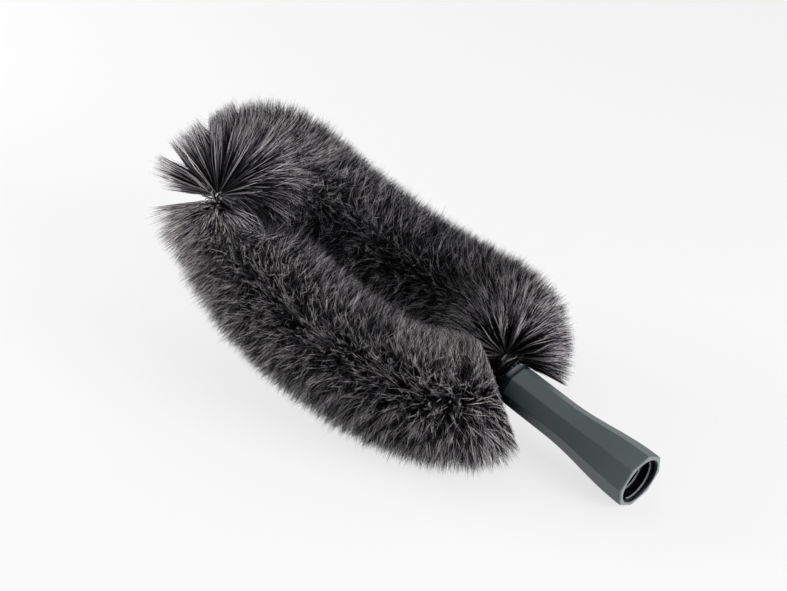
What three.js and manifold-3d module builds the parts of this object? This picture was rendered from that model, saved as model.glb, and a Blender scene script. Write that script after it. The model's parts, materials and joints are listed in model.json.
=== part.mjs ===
// Pipe duster: a twisted-wire brush bent into an arched loop, held in an octagonal pole socket.
// Millimetres. The pieces are built along the socket's axis (+X towards the pole), then the whole
// duster is laid down on its bristles and on the socket's rim, with +Z up and the floor at zero.
import * as THREE from "three";
import { mergeVertices } from "three/addons/utils/BufferGeometryUtils.js";
import Module from "manifold-3d";

const wasm = await Module();
wasm.setup();

// General
const CLEARANCE = 0.3;
const CUT_OVERRUN = 1;
const MERGE_DISTANCE = 1e-4;
const DEGREE = Math.PI / 180;

// Pole socket
const SOCKET_LENGTH = 100;
const SOCKET_SIDES = 8;
const SOCKET_TOP_RADIUS = 12.6;
const SOCKET_MOUTH_RADIUS = 17.3;
const FLARE_START = 38;
const FLARE_STEPS = 10;
const MOUTH_LIP = 3;
const BORE_DEPTH = 45;
const BORE_MOUTH_RADIUS = 14.2;
const BORE_END_RADIUS = 9.8;
const BORE_SIDES = 32;
const BORE_LEAD_IN = 1;

// Neck cap on the brush end of the socket
const CAP_BAND = 5;
const CAP_SHOULDER = 1.6;
const CAP_SPIGOT = 4;
const CAP_BOSS = 3;
const CAP_BOSS_WALL = 1.6;

// Stem: two wires twisted round the roots of the bristles
const WIRE_RADIUS = 1;
const WIRE_SIDES = 5;
const STEP_LENGTH = 2.75;
const STEPS_PER_TURN = 7.6;
const STEM_IN_SOCKET = 36;
const FERRULE_WALL = 1.2;
const FERRULE_LENGTH = 24;
const SLOT_ARC_STEPS = 12;

// Loop: an egg-shaped outline, arched like a saddle so that it hugs a pipe
const LOOP_LENGTH = 197;
const LOOP_HALF_WIDTH = 52.5;
const LOOP_EGG = 0.13;
const LOOP_BLUNTNESS = 0.4;
const LOOP_YAW = 12.3 * DEGREE;
const NECK_LEAN = 0.34;
const NECK_REACH = 9.9;
const NECK_RISE = 3.2;
const NECK_DIP = 15;
const NECK_DIP_WIDTH = 18;
const NECK_STRAIGHT = 7;
const NECK_SPREAD = 1;
const ARCH_DEPTH = 19.7;
const TIP_RISE = 27.8;
const QUARTER_POINTS = 7;
const QUARTER_CROWDING = 1.8;
const FAR_LEG_START = 2;

// Bristles
const BRUSH_RADIUS = 39;
const CORE_RADIUS = 0.85;
const STRAND_WIDTH = 2.6;
const TUFT_START = 0.55;
const TUFT_ALONG = 6;
const TUFT_ACROSS = 9;
const SHORTEST_STRAND = 13;
const REACH_STEP = 1;
const BRISTLE_START = 9;
const STRAND_MARGIN = 7;
const OWN_GROUND = 0.5;
const BEND_SHARE = 0.5;
const INNER_CROWDING = 1.5;
const BEND_WINDOW = 6;
const SLICE_NAMES = ["far_leg_bristles", "far_tip_bristles", "near_tip_bristles", "near_leg_bristles"];

// Search for the pose in which the duster lies
const STEEPEST_REST = 45 * DEGREE;
const HALVINGS = 24;

// Sizes that follow from the ones above
const TWIST_STEP = (2 * Math.PI) / STEPS_PER_TURN;
const WIRE_ORBIT = (CORE_RADIUS + CLEARANCE + WIRE_RADIUS) / Math.cos(TWIST_STEP / 2);
const STEM_RADIUS = WIRE_ORBIT + WIRE_RADIUS;
const STEM_OFFSET = STEM_RADIUS + CLEARANCE;
const SLOT_RADIUS = STEM_RADIUS + CLEARANCE;
const SLEEVE_RADIUS = SLOT_RADIUS + FERRULE_WALL;
const TUFT_RADIUS = Math.hypot(TUFT_ALONG, TUFT_ACROSS) / 2 + CLEARANCE;
const POCKET_RADIUS = SLEEVE_RADIUS + CLEARANCE;
const FERRULE_START = CAP_BAND + CAP_SPIGOT + CLEARANCE;
const POCKET_END = Math.max(FERRULE_START + FERRULE_LENGTH, STEM_IN_SOCKET + WIRE_RADIUS) + CLEARANCE;

// Finishes
function finish(color, roughness, metalness) {
  return new THREE.MeshStandardMaterial({ color, roughness, metalness });
}
const SOCKET_PLASTIC = finish(0x3f4a4a, 0.45, 0);
const CAP_PLASTIC = finish(0x0c0d10, 0.3, 0);
const BRIGHT_STEEL = finish(0xb9bbbd, 0.3, 1);
const BRISTLE_FIBRE = finish(0x2e2b2d, 0.7, 0);

// Closed geometry to solid and back
function solidOf(geometry) {
  const bare = new THREE.BufferGeometry().setAttribute("position", geometry.getAttribute("position"));
  bare.setIndex(geometry.index);
  const merged = mergeVertices(bare, MERGE_DISTANCE);
  const corners = [...merged.index.array];
  const kept = [];
  for (let i = 0; i < corners.length; i += 3) {
    const [a, b, c] = corners.slice(i, i + 3);
    if (a !== b && b !== c && c !== a) kept.push(a, b, c);
  }
  const vertProperties = new Float32Array(merged.getAttribute("position").array);
  return new wasm.Manifold(new wasm.Mesh({ numProp: 3, vertProperties, triVerts: new Uint32Array(kept) }));
}

function geometryOf(solid) {
  const { vertProperties, triVerts } = solid.getMesh();
  const geometry = new THREE.BufferGeometry();
  geometry.setAttribute("position", new THREE.BufferAttribute(vertProperties, 3));
  geometry.setIndex(new THREE.BufferAttribute(triVerts, 1));
  geometry.computeVertexNormals();
  return geometry;
}

// A profile of [place along the axis, radius] pairs turned round the socket's axis
const TURNED = new THREE.Matrix4().set(0, 1, 0, 0, 0, 0, 1, 0, 1, 0, 0, 0, 0, 0, 0, 1);
function turned(profile, sides) {
  const [start] = profile[0];
  const [end] = profile[profile.length - 1];
  const closed = [[start, 0], ...profile, [end, 0]];
  const points = closed.map(([along, radius]) => new THREE.Vector2(radius, along));
  return solidOf(new THREE.LatheGeometry(points, sides).applyMatrix4(TURNED));
}

// A slot with round ends across the two stems, from one place on the axis to another
const LENGTHWISE = new THREE.Matrix4().set(0, 0, 1, 0, 1, 0, 0, 0, 0, 1, 0, 0, 0, 0, 0, 1);
function slot(radius, from, to) {
  const outline = new THREE.Shape();
  outline.absarc(STEM_OFFSET, 0, radius, -Math.PI / 2, Math.PI / 2);
  outline.absarc(-STEM_OFFSET, 0, radius, Math.PI / 2, (3 * Math.PI) / 2);
  const options = { depth: to - from, bevelEnabled: false, curveSegments: SLOT_ARC_STEPS };
  const bar = new THREE.ExtrudeGeometry(outline, options).translate(0, 0, from);
  return solidOf(bar.applyMatrix4(LENGTHWISE));
}

// Corner radius of the socket's octagon: straight at the top, then an even flare to the mouth
function socketRadius(along) {
  const flareLength = SOCKET_LENGTH - MOUTH_LIP - FLARE_START;
  const share = THREE.MathUtils.clamp((along - FLARE_START) / flareLength, 0, 1);
  return THREE.MathUtils.lerp(SOCKET_TOP_RADIUS, SOCKET_MOUTH_RADIUS, (1 - Math.cos(Math.PI * share)) / 2);
}

function poleSocket() {
  const start = CAP_BAND + CLEARANCE;
  const profile = [[start, socketRadius(start)]];
  for (let i = 0; i <= FLARE_STEPS; i++) {
    const along = THREE.MathUtils.lerp(FLARE_START, SOCKET_LENGTH - MOUTH_LIP, i / FLARE_STEPS);
    profile.push([along, socketRadius(along)]);
  }
  profile.push([SOCKET_LENGTH, SOCKET_MOUTH_RADIUS]);
  const boreStart = SOCKET_LENGTH - BORE_DEPTH;
  const bore = [
    [boreStart, BORE_END_RADIUS],
    [SOCKET_LENGTH - BORE_LEAD_IN, BORE_MOUTH_RADIUS - BORE_LEAD_IN],
    [SOCKET_LENGTH + BORE_LEAD_IN, BORE_MOUTH_RADIUS + BORE_LEAD_IN],
  ];
  return geometryOf(
    turned(profile, SOCKET_SIDES)
      .subtract(turned(bore, BORE_SIDES))
      .subtract(slot(POCKET_RADIUS, 0, POCKET_END)),
  );
}

function neckCap() {
  const band = turned(
    [
      [0, SOCKET_TOP_RADIUS - CAP_SHOULDER],
      [CAP_SHOULDER, SOCKET_TOP_RADIUS],
      [CAP_BAND, SOCKET_TOP_RADIUS],
    ],
    SOCKET_SIDES,
  );
  return geometryOf(
    band
      .add(slot(SLOT_RADIUS + CAP_BOSS_WALL, -CAP_BOSS, CAP_BAND / 2))
      .add(slot(SLEEVE_RADIUS, CAP_BAND / 2, CAP_BAND + CAP_SPIGOT))
      .subtract(slot(SLOT_RADIUS, -CAP_BOSS - CUT_OVERRUN, CAP_BAND + CAP_SPIGOT + CUT_OVERRUN)),
  );
}

function crimpFerrule() {
  const end = FERRULE_START + FERRULE_LENGTH;
  const hollow = slot(SLOT_RADIUS, FERRULE_START - CUT_OVERRUN, end + CUT_OVERRUN);
  return geometryOf(slot(SLEEVE_RADIUS, FERRULE_START, end).subtract(hollow));
}

// Centre line of the loop for an angle of 0 (neck) to pi (tip) to 2 pi (neck again)
function loopPoint(angle) {
  const along = Math.cos(angle);
  const across = Math.sin(angle);
  const bulge = Math.sign(across) * Math.abs(across) ** LOOP_BLUNTNESS * (1 + LOOP_EGG * along);
  const y = LOOP_HALF_WIDTH * bulge;
  const nearNeck = ((1 + along) / 2) ** 2;
  const dip = NECK_DIP * Math.exp(-((y / NECK_DIP_WIDTH) ** 2));
  const x = (-LOOP_LENGTH / 2) * (1 - along) - (NECK_LEAN * y + dip) * nearNeck;
  const z = -ARCH_DEPTH * (1 - along * along) + (TIP_RISE * (1 - along)) / 2;
  const point = new THREE.Vector3(x, y, z).applyAxisAngle(new THREE.Vector3(0, 0, 1), LOOP_YAW);
  return point.add(new THREE.Vector3(-NECK_REACH, 0, NECK_RISE));
}

// Angles round the loop, closer together at the neck and at the tip. The far leg runs straight from the neck
// to the point that its start names, and the near leg comes back to the neck in an even bend.
function loopAngles() {
  const quarter = [];
  for (let k = 0; k <= QUARTER_POINTS; k++) {
    quarter.push((Math.PI / 2) * (k / QUARTER_POINTS) ** QUARTER_CROWDING);
  }
  const toTip = quarter.slice(0, -1).reverse().map((angle) => Math.PI - angle);
  const farHalf = [...quarter.slice(1), ...toTip];
  const nearHalf = farHalf.slice(0, -1).reverse().map((angle) => 2 * Math.PI - angle);
  return [...farHalf.slice(FAR_LEG_START), ...nearHalf];
}

// The whole stem: out of the socket, round the loop and back into the socket
function stemCurve() {
  const inside = (side) => [
    new THREE.Vector3(STEM_IN_SOCKET, side * STEM_OFFSET, 0),
    new THREE.Vector3(STEM_IN_SOCKET / 2, side * STEM_OFFSET, 0),
    new THREE.Vector3(0, side * STEM_OFFSET, 0),
    new THREE.Vector3(-NECK_STRAIGHT, side * (STEM_OFFSET + NECK_SPREAD), 0),
  ];
  return new THREE.CatmullRomCurve3([...inside(1), ...loopAngles().map(loopPoint), ...inside(-1).reverse()]);
}

// Even stations along the stem, each with its place, its directions and the angle of the twist
function stemStations(curve) {
  const steps = Math.round(curve.getLength() / STEP_LENGTH);
  const frames = curve.computeFrenetFrames(steps);
  return frames.tangents.map((tangent, i) => {
    const before = frames.tangents[Math.max(i - BEND_WINDOW, 0)];
    const after = frames.tangents[Math.min(i + BEND_WINDOW, steps)];
    return {
      place: curve.getPointAt(i / steps),
      normal: frames.normals[i],
      binormal: frames.binormals[i],
      bend: after.clone().sub(before).divideScalar(2 * BEND_WINDOW * STEP_LENGTH),
      twist: i * TWIST_STEP,
    };
  });
}

function around(station, angle) {
  const { normal, binormal, twist } = station;
  return normal
    .clone()
    .multiplyScalar(Math.cos(twist + angle))
    .addScaledVector(binormal, Math.sin(twist + angle));
}

// A round wire along a run of points, with flat cut ends
function wireAlong(points) {
  const positions = [];
  const index = [];
  const tangents = points.map((point, i) => {
    const before = points[Math.max(i - 1, 0)];
    const after = points[Math.min(i + 1, points.length - 1)];
    return after.clone().sub(before).normalize();
  });
  const normal = new THREE.Vector3(0, 0, 1).cross(tangents[0]).normalize();
  points.forEach((point, i) => {
    normal.addScaledVector(tangents[i], -normal.dot(tangents[i])).normalize();
    const binormal = tangents[i].clone().cross(normal);
    for (let k = 0; k < WIRE_SIDES; k++) {
      const angle = (2 * Math.PI * k) / WIRE_SIDES;
      const rim = point.clone().addScaledVector(normal, WIRE_RADIUS * Math.cos(angle));
      positions.push(...rim.addScaledVector(binormal, WIRE_RADIUS * Math.sin(angle)).toArray());
    }
  });
  for (let i = 0; i + 1 < points.length; i++) {
    for (let k = 0; k < WIRE_SIDES; k++) {
      const next = (k + 1) % WIRE_SIDES;
      const [a, b] = [i * WIRE_SIDES + k, i * WIRE_SIDES + next];
      index.push(a, b, b + WIRE_SIDES, a, b + WIRE_SIDES, a + WIRE_SIDES);
    }
  }
  const last = (points.length - 1) * WIRE_SIDES;
  for (let k = 1; k + 1 < WIRE_SIDES; k++) {
    index.push(0, k + 1, k, last, last + k, last + k + 1);
  }
  return closedGeometry(positions, index);
}

function closedGeometry(positions, index) {
  const geometry = new THREE.BufferGeometry();
  geometry.setAttribute("position", new THREE.Float32BufferAttribute(positions, 3));
  geometry.setIndex(index);
  geometry.computeVertexNormals();
  return geometry;
}

// Least gap between turns of one wire that lie a full turn or more apart
function leastGap(points) {
  let least = Infinity;
  points.forEach((point, i) => {
    for (let j = i + Math.ceil(STEPS_PER_TURN); j < points.length; j++) {
      least = Math.min(least, point.distanceTo(points[j]) - 2 * WIRE_RADIUS);
    }
  });
  return least;
}

function stemWire(stations, side) {
  const points = stations.map((station) =>
    station.place.clone().addScaledVector(around(station, side * (Math.PI / 2)), WIRE_ORBIT),
  );
  console.log(`least gap of a stem wire to itself: ${leastGap(points).toFixed(2)} mm`);
  return wireAlong(points);
}

// How far a strand may grow before it meets the socket, or comes nearer to another run of the stem
function blocked(point, reach, stations) {
  const beside = point.x > -CAP_BOSS - TUFT_RADIUS && point.x < SOCKET_LENGTH + TUFT_RADIUS;
  const inSocket = beside && Math.hypot(point.y, point.z) < socketRadius(point.x) + TUFT_RADIUS;
  return inSocket || stations.some((station) => station.place.distanceTo(point) < reach - OWN_GROUND);
}

function strandReach(root, direction, stations) {
  const inward = root.bend.dot(direction);
  const most = inward > 0 ? Math.min(BRUSH_RADIUS, BEND_SHARE / inward) : BRUSH_RADIUS;
  let reach = SHORTEST_STRAND;
  while (reach < most) {
    const ahead = reach + STRAND_MARGIN;
    if (blocked(root.place.clone().addScaledVector(direction, ahead), ahead, stations)) break;
    reach += REACH_STEP;
  }
  return Math.min(reach, most);
}

// One slice of the brush: a thin twisted core with a strand on each open face of every step
const CORE_CORNERS = [45, 135, 225, 315].map((angle) => angle * DEGREE);
const OPEN_FACES = [1, 3];

// Corners of a strand's section at a distance from the stem
const SECTION_CORNERS = [
  [-0.5, -0.5],
  [0.5, -0.5],
  [0.5, 0.5],
  [-0.5, 0.5],
];

function strandSection(start, end, direction, { distance, across, along }) {
  const middle = start.place.clone().lerp(end.place, 0.5).addScaledVector(direction, distance);
  const lengthwise = end.place.clone().sub(start.place).normalize();
  const crosswise = lengthwise.clone().cross(direction);
  return SECTION_CORNERS.map(([a, b]) =>
    middle.clone().addScaledVector(crosswise, a * across).addScaledVector(lengthwise, b * along),
  );
}

// A strand stands for a tuft: slim near the stem, then opening towards its tip, less so inside a bend
function strandSections(start, end, direction, reach) {
  const room = 1 - Math.max(INNER_CROWDING * start.bend.dot(direction), 0) * reach;
  const slim = { distance: reach * TUFT_START, across: STRAND_WIDTH, along: STRAND_WIDTH * (1 + room) / 2 };
  const tip = { distance: reach, across: (TUFT_ACROSS * reach) / BRUSH_RADIUS, along: TUFT_ALONG * room };
  return [slim, tip].map((section) => strandSection(start, end, direction, section));
}

function bristleSlice(stations, stem) {
  const positions = [];
  const index = [];
  const addPoint = (point) => positions.push(...point.toArray()) / 3 - 1;
  const addQuad = ([a, b, c, d]) => index.push(a, b, c, a, c, d);
  const addStrand = (base, sections) => {
    let from = base;
    for (const to of sections) {
      from.forEach((corner, n) => {
        const m = (n + 1) % from.length;
        addQuad([corner, from[m], to[m], to[n]]);
      });
      from = to;
    }
    addQuad(from);
  };
  const rings = stations.map((station) => {
    const corner = (angle) => station.place.clone().addScaledVector(around(station, angle), CORE_RADIUS);
    return CORE_CORNERS.map((angle) => addPoint(corner(angle)));
  });
  for (let i = 0; i + 1 < stations.length; i++) {
    const [start, end] = [stations[i], stations[i + 1]];
    for (let k = 0; k < CORE_CORNERS.length; k++) {
      const next = (k + 1) % CORE_CORNERS.length;
      const base = [rings[i][k], rings[i][next], rings[i + 1][next], rings[i + 1][k]];
      const angle = CORE_CORNERS[k] + Math.PI / CORE_CORNERS.length;
      const direction = around(start, angle).add(around(end, angle)).normalize();
      const reach = OPEN_FACES.includes(k) ? strandReach(start, direction, stem) : 0;
      if (reach > SHORTEST_STRAND) {
        const sections = strandSections(start, end, direction, reach);
        addStrand(base, sections.map((section) => section.map(addPoint)));
      } else addQuad(base);
    }
  }
  addQuad([...rings[0]].reverse());
  addQuad(rings[rings.length - 1]);
  return closedGeometry(positions, index);
}

// The bristled run of the stem in equal slices, one bare step apart
function bristleSlices(stations) {
  const clear = (station) => Math.hypot(station.place.y, station.place.z) > BRISTLE_START;
  const first = stations.findIndex((station) => clear(station));
  const last = stations.findLastIndex((station) => clear(station));
  const share = (last - first + 1) / SLICE_NAMES.length;
  return SLICE_NAMES.map((name, k) => {
    const from = first + Math.round(k * share);
    const to = first + Math.round((k + 1) * share);
    return { name, geometry: bristleSlice(stations.slice(from, to), stations) };
  });
}

// Laid down: the tilt and roll at which both legs and the socket's rim touch the same floor
function cornersOf(geometry) {
  const places = geometry.getAttribute("position");
  return Array.from({ length: places.count }, (_, i) => new THREE.Vector3().fromBufferAttribute(places, i));
}

function lowest(corners, { tilt, roll }) {
  const up = new THREE.Vector3(0, 0, 1).applyEuler(new THREE.Euler(-roll, -tilt, 0, "XYZ"));
  return corners.reduce((least, corner) => Math.min(least, corner.dot(up)), Infinity);
}

function halved(limit, tooSmall) {
  let [low, high] = [-limit, limit];
  for (let i = 0; i < HALVINGS; i++) {
    const middle = (low + high) / 2;
    if (tooSmall(middle)) low = middle;
    else high = middle;
  }
  return (low + high) / 2;
}

function restPose(farLeg, nearLeg, rim) {
  const brush = [...farLeg, ...nearLeg];
  const poseAt = (roll) => ({
    roll,
    tilt: halved(STEEPEST_REST, (tilt) => lowest(brush, { tilt, roll }) < lowest(rim, { tilt, roll })),
  });
  const nearIsLow = (roll) => {
    const pose = poseAt(roll);
    return lowest(farLeg, pose) < lowest(nearLeg, pose);
  };
  return poseAt(halved(STEEPEST_REST, nearIsLow));
}

function node(name, geometry, material) {
  const mesh = new THREE.Mesh(geometry, material);
  mesh.name = name;
  return mesh;
}

const stations = stemStations(stemCurve());
const socket = poleSocket();
const slices = bristleSlices(stations);

const laid = new THREE.Group();
laid.add(node("pole_socket", socket, SOCKET_PLASTIC));
laid.add(node("neck_cap", neckCap(), CAP_PLASTIC));
laid.add(node("crimp_ferrule", crimpFerrule(), BRIGHT_STEEL));
laid.add(node("stem_wire_a", stemWire(stations, 1), BRIGHT_STEEL));
laid.add(node("stem_wire_b", stemWire(stations, -1), BRIGHT_STEEL));
for (const slice of slices) laid.add(node(slice.name, slice.geometry, BRISTLE_FIBRE));
const [farLeg, farTip, nearTip, nearLeg] = slices.map((slice) => cornersOf(slice.geometry));
const pose = restPose([...farLeg, ...farTip], [...nearLeg, ...nearTip], cornersOf(socket));
laid.rotation.set(pose.roll, pose.tilt, 0, "YXZ");

const duster = new THREE.Group();
duster.add(laid);
const box = new THREE.Box3().setFromObject(duster, true);
const centre = box.getCenter(new THREE.Vector3());
laid.position.set(-centre.x, -centre.y, -box.min.z);

export default duster;
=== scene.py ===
"""Looks of the pipe duster: a bristled wire loop on a flared, eight-sided pole socket.

Sizes are in metres. The bench frame has its origin where the socket's axis meets the cap's brush
face, +X along the socket towards its mouth and +Z on the hollow side of the loop. Every mesh is made
on the bench and then laid on the floor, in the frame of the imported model.
"""

import json
import logging
import math
from dataclasses import dataclass, field
from enum import Enum
from typing import Any

import bmesh
import bpy
import numpy as np
from mathutils import Matrix, Vector


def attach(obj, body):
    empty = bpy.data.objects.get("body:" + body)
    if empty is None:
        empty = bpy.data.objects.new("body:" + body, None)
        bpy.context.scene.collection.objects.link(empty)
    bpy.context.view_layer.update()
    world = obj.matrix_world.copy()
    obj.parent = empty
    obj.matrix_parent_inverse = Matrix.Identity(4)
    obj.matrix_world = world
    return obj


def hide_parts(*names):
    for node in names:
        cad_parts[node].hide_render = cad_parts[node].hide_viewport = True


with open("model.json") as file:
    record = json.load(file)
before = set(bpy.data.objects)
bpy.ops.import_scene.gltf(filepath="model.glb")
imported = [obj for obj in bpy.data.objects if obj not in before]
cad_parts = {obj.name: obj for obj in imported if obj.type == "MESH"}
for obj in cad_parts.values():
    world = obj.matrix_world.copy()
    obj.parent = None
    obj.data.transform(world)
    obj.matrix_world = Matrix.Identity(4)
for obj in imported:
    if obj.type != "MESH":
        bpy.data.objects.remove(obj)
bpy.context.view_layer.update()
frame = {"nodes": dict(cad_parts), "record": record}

MM = 0.001
FULL_TURN = 2 * math.pi
TOUCH = 1e-6
CRISP_ANGLE = math.radians(30)
CREASE_ANGLE = math.radians(50)
# The kink's axes on the bench: right and up as its slots are seen, and the line along which they open.
KINK_AXES = np.array([(0.619, 0.767, 0.169), (-0.498, 0.216, 0.840), (0.608, -0.604, 0.516)])
LOG = logging.getLogger("pipe_duster")


def mm(*lengths: float) -> tuple[float, ...]:
    """Turns millimetres into metres."""
    return tuple(length * MM for length in lengths)


def share_of(value: float) -> float:
    """Keeps a number between 0 and 1."""
    return min(max(value, 0.0), 1.0)


def unit(rows: np.ndarray, least: float = 0.0) -> np.ndarray:
    """Divides each row by its length, or by the least length if that is more."""
    return rows / np.maximum(np.linalg.norm(rows, axis=1), least)[:, None]


def between(angle: np.ndarray, first: np.ndarray, second: np.ndarray) -> np.ndarray:
    """Directions at these angles from the first ones towards the second ones."""
    return np.cos(angle)[:, None] * first + np.sin(angle)[:, None] * second


class Slot(Enum):
    """Material slots of the record."""

    SOCKET = "socket_plastic"
    CAP = "cap_plastic"
    STEEL = "steel"
    BRISTLE = "bristle"


class MixPort(Enum):
    """Places of a colour Mix node's sockets."""

    FACTOR = 0
    A = 6
    B = 7
    RESULT = 2


class Value:
    """A shader socket whose arithmetic adds Math nodes."""

    def __init__(self, shader: "Shader", socket: bpy.types.NodeSocket) -> None:
        """Wraps a socket of that shader's tree."""
        self.shader = shader
        self.socket = socket

    def __add__(self, other: "Value | float") -> "Value":
        """Sum of two values."""
        return self.shader.maths("ADD", self, other)

    __radd__ = __add__

    def __mul__(self, other: "Value | float") -> "Value":
        """Product of two values."""
        return self.shader.maths("MULTIPLY", self, other)

    __rmul__ = __mul__

    def __rsub__(self, other: float) -> "Value":
        """A number less this value."""
        return self.shader.maths("SUBTRACT", other, self)

    def __pow__(self, other: float) -> "Value":
        """This value raised to a power."""
        return self.shader.maths("POWER", self, other)


class Shader:
    """A material's node tree and the few ways in which nodes are added to it."""

    def __init__(self, name: str) -> None:
        """Starts a material with a Principled BSDF and its output."""
        self.material = bpy.data.materials.new(name)
        self.material.use_nodes = True
        self.tree = self.material.node_tree
        self.bsdf = self.tree.nodes["Principled BSDF"]
        self.output = self.tree.nodes["Material Output"]

    def node(self, kind: str, settings: dict[str, Any] | None = None,
             inputs: dict[Any, Any] | None = None) -> bpy.types.Node:
        """Adds a node.

        Args:
            kind: Blender's name of the node type.
            settings: properties of the node, and "stops" for a colour ramp, as (place, colour) pairs.
            inputs: numbers, colours or links for its sockets, by name or place.

        Returns:
            The new node.
        """
        made = self.tree.nodes.new(kind)
        for name, setting in (settings or {}).items():
            if name == "stops":
                self.set_stops(made.color_ramp, setting)
            else:
                setattr(made, name, setting)
        for key, value in (inputs or {}).items():
            self.feed(made.inputs[key], value)
        return made

    def feed(self, socket: bpy.types.NodeSocket, value: Any) -> None:
        """Links a value to a socket, or sets the socket's own number or colour."""
        if isinstance(value, Value):
            self.tree.links.new(value.socket, socket)
        elif isinstance(value, bpy.types.NodeSocket):
            self.tree.links.new(value, socket)
        elif socket.type == "RGBA":
            socket.default_value = (*value[:3], 1.0)
        else:
            socket.default_value = value

    @staticmethod
    def set_stops(ramp: bpy.types.ColorRamp, stops: tuple[tuple[float, tuple], ...]) -> None:
        """Gives a colour ramp these stops."""
        while len(ramp.elements) < len(stops):
            ramp.elements.new(1.0)
        for element, (place, colour) in zip(ramp.elements, stops):
            element.position = place
            element.color = (*colour, 1.0)

    def maths(self, operation: str, *terms: Value | float) -> Value:
        """Adds a Math node for that operation on the terms."""
        made = self.node("ShaderNodeMath", {"operation": operation}, dict(enumerate(terms)))
        return Value(self, made.outputs[0])

    def mix(self, blend: str, factor: Any, first: Any, second: Any) -> bpy.types.NodeSocket:
        """Mixes two colours.

        Args:
            blend: blend type, such as MIX or MULTIPLY.
            factor: share of the second colour.
            first: colour or link.
            second: colour or link.

        Returns:
            The mixed colour's socket.
        """
        sockets = {MixPort.FACTOR.value: factor, MixPort.A.value: first, MixPort.B.value: second}
        made = self.node("ShaderNodeMix", {"data_type": "RGBA", "blend_type": blend}, sockets)
        return made.outputs[MixPort.RESULT.value]

    def attribute(self, name: str) -> Value:
        """Reads a number that the mesh holds at its points."""
        made = self.node("ShaderNodeAttribute", {"attribute_type": "GEOMETRY", "attribute_name": name})
        return Value(self, made.outputs["Fac"])

    def noise(self, scale: float, detail: float) -> Value:
        """Noise on Object coordinates.

        Args:
            scale: cells per metre.
            detail: octaves.

        Returns:
            The noise's value.
        """
        place = self.node("ShaderNodeTexCoord").outputs["Object"]
        made = self.node("ShaderNodeTexNoise", {}, {"Vector": place, "Scale": scale, "Detail": detail})
        return Value(self, made.outputs["Fac"])

    def bump(self, height: Value, strength: float, distance: float) -> None:
        """Feeds a height to the surface's normal."""
        sockets = {"Height": height, "Strength": strength, "Distance": distance}
        self.surface({"Normal": self.node("ShaderNodeBump", {}, sockets).outputs[0]})

    def surface(self, inputs: dict[str, Any]) -> None:
        """Feeds numbers, colours or links to the surface's sockets, by name."""
        for name, value in inputs.items():
            self.feed(self.bsdf.inputs[name], value)


@dataclass(frozen=True)
class BristleFibre:
    """Fine charcoal filaments, with painted shade towards the root and painted light towards the tip."""

    name: str = "bristle_fibre"
    tones: tuple = (
        (0.0, (0.002, 0.002, 0.003)),
        (0.54, (0.004, 0.004, 0.005)),
        (0.66, (0.028, 0.025, 0.031)),
        (0.78, (0.270, 0.257, 0.280)),
        (0.88, (0.690, 0.655, 0.690)),
        (1.0, (0.900, 0.860, 0.820)),
    )
    painted_root_shade: float = 0.16
    painted_tip_light: float = 1.1
    tip_power: float = 3.5
    specular: float = 0.1
    roughness: float = 0.42

    def material(self) -> bpy.types.Material:
        """Makes the material, which reads each strand's tone, and the place along it for the painted shade
        and light.
        """
        shader = Shader(self.name)
        along = shader.attribute("along")
        ramp = shader.node("ShaderNodeValToRGB", {"stops": self.tones}, {"Fac": shader.attribute("tone")})
        shade = self.painted_root_shade + self.painted_tip_light * along ** self.tip_power
        grey = shader.node("ShaderNodeCombineColor", {}, {"Red": shade, "Green": shade, "Blue": shade})
        colour = shader.mix("MULTIPLY", 1.0, ramp.outputs["Color"], grey.outputs[0])
        shader.surface({
            "Base Color": colour,
            "Roughness": self.roughness,
            "Specular IOR Level": self.specular,
        })
        return shader.material


@dataclass(frozen=True)
class SocketPlastic:
    """Satin slate plastic with a fine moulded grain, painted shade in the bore and low down beside the cap,
    and painted highlights on the mouth's rim and the thread's crest.
    """

    name: str = "socket_plastic_satin"
    colour: tuple = (0.084, 0.104, 0.105)
    deep: tuple = (0.070, 0.086, 0.087)
    # Colour of the painted shade in the bore and of the painted shadow beside the cap.
    black: tuple = (0.003, 0.003, 0.005)
    # Colour of the painted highlight on the mouth's rim and the thread's crest.
    painted_highlight: tuple = (0.24, 0.265, 0.265)
    roughness: float = 0.4
    specular: float = 0.08
    gloss: float = 0.4
    cloud_scale: float = 55.0
    grain_scale: float = 2600.0
    grain_strength: float = 0.25
    grain_depth: float = 0.06 * MM
    grain_roughness: float = 0.16
    highlight_share: tuple = (0.25, 0.6)

    def material(self) -> bpy.types.Material:
        """Makes the material from slow clouds, a fine grain, and the mesh's painted shade and painted
        highlights.
        """
        shader = Shader(self.name)
        clouds = shader.noise(self.cloud_scale, 3.0)
        grain = shader.noise(self.grain_scale, 2.0)
        base = shader.mix("MIX", clouds, self.deep, self.colour)
        base = shader.mix("MIX", shader.attribute("painted_shade"), base, self.black)
        # Painted highlight, patchy with the clouds.
        highlight_mix = shader.attribute("painted_highlight") * (self.highlight_share[0] + self.highlight_share[1] * clouds)
        shader.surface({
            "Base Color": shader.mix("MIX", highlight_mix, base, self.painted_highlight),
            "Roughness": self.roughness - self.grain_roughness / 2 + self.grain_roughness * grain,
            "Specular IOR Level": self.specular,
            "Coat Weight": self.gloss * (1 - shader.attribute("painted_shade")),
            "Coat Roughness": self.roughness,
        })
        shader.bump(grain, self.grain_strength, self.grain_depth)
        return shader.material


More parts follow.
